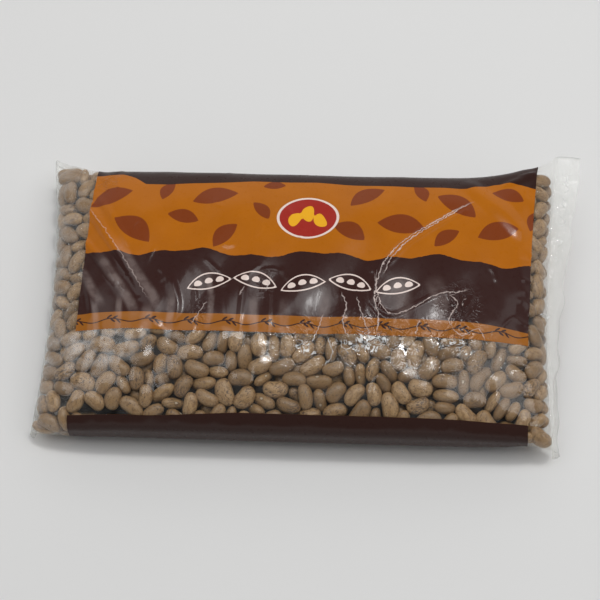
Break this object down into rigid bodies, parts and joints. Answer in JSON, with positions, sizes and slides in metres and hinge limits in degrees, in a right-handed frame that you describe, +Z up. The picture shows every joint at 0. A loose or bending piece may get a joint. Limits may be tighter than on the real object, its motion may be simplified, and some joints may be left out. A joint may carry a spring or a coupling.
{
  "type": "bag of dried beans",
  "caption": "Clear film pillow bag full of speckled dried beans, lying flat, with a printed face, clear ends, a clear window and a sealed fin at each end.",
  "frame": {"origin": "middle of the underside of the bag's box, on the surface it lies on", "axes": "+X along the bag from seal to seal, +Y across it away from the clear window, +Z up out of the printed face"},
  "size_m": [0.2778, 0.1656, 0.0409],
  "materials": {
    "beans": "dry bean skin, tan with dark brown speckles, slightly satin",
    "film": "thin clear film, glossy and creased",
    "print": "film printed in orange and dark brown fields, glossy and creased"
  },
  "bodies": {
    "root": {"bag_of_beans": "beans"}
  },
  "joints": []
}
